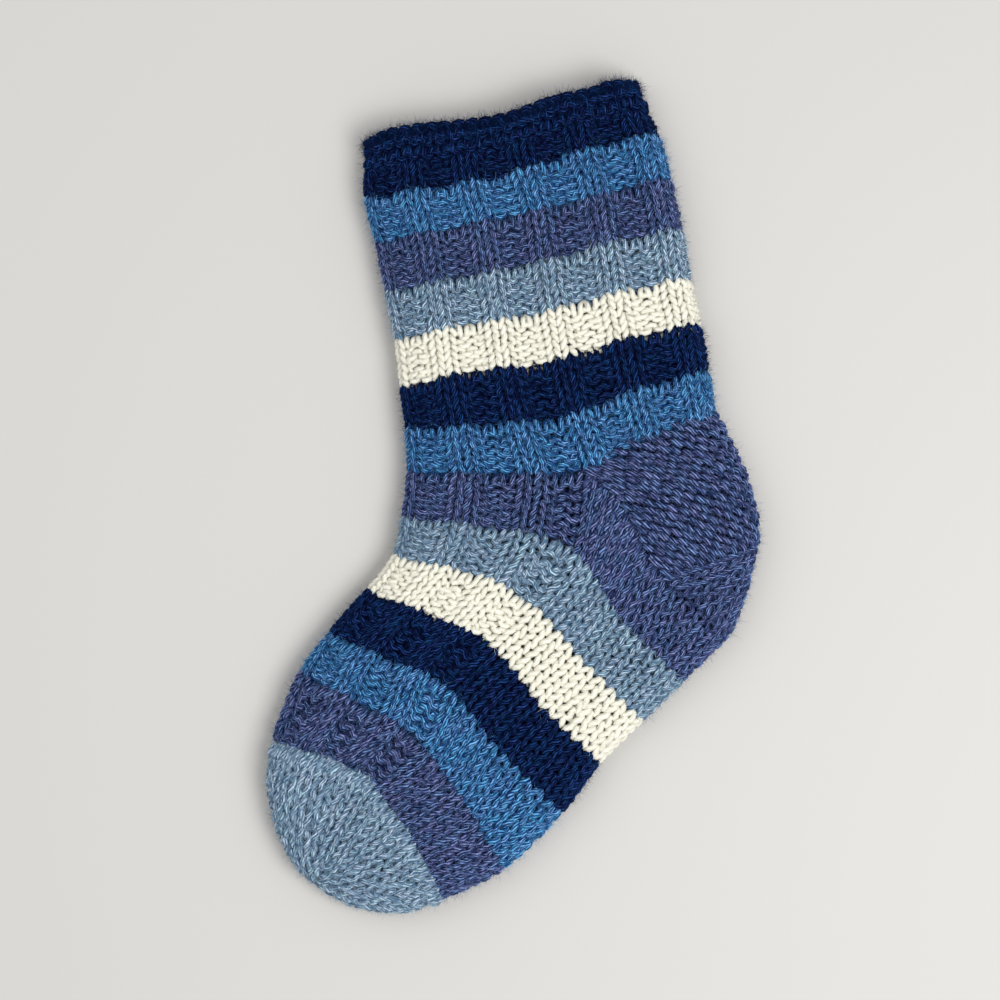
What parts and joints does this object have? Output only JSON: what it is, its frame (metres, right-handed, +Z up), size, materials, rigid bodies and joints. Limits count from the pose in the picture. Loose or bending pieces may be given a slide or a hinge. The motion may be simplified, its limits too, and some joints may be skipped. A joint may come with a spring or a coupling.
{
  "type": "knitted sock",
  "caption": "Hand-knitted wool sock lying flat: ribbed cuff, striped leg, rounded heel with flap and gusset, striped foot and closed toe, hollow from the mouth to the toe.",
  "frame": {"origin": "under the middle of the sock's box, on the surface it lies on", "axes": "+Z up from the surface the sock lies on, +Y up the leg towards the mouth, +X towards the back of the heel"},
  "size_m": [0.1845, 0.2726, 0.0187],
  "materials": {
    "navy_wool": "matte heathered wool yarn, dark navy",
    "blue_wool": "matte heathered wool yarn, mid blue",
    "denim_wool": "matte heathered wool yarn, greyed violet blue",
    "light_wool": "matte heathered wool yarn, pale grey blue",
    "cream_wool": "matte wool yarn, natural cream"
  },
  "bodies": {
    "foot": {"heel_flap": "denim_wool", "heel_turn": "denim_wool", "gusset_band": "denim_wool", "foot_band_light": "light_wool", "foot_band_cream": "cream_wool", "foot_band_navy": "navy_wool", "foot_band_blue": "blue_wool"},
    "leg": {"cast_on_edge": "navy_wool", "cuff_band": "navy_wool", "leg_band_blue": "blue_wool", "leg_band_denim": "denim_wool", "leg_band_light": "light_wool", "leg_band_cream": "cream_wool", "leg_band_navy": "navy_wool", "ankle_band_blue": "blue_wool"},
    "toe": {"foot_band_denim": "denim_wool", "toe_cap": "light_wool"}
  },
  "joints": [
    {"name": "ankle_flex", "type": "hinge", "parent": "foot", "child": "leg", "pos_m": [0.032, 0.0153, 0.007], "axis": [0, 0, 1], "range_deg": [-12, 12], "deforming": ["ankle_band_blue"]},
    {"name": "toe_flex", "type": "hinge", "parent": "foot", "child": "toe", "pos_m": [-0.045, -0.0847, 0.007], "axis": [0, 0, 1], "range_deg": [-10, 10], "deforming": ["foot_band_denim"]}
  ]
}
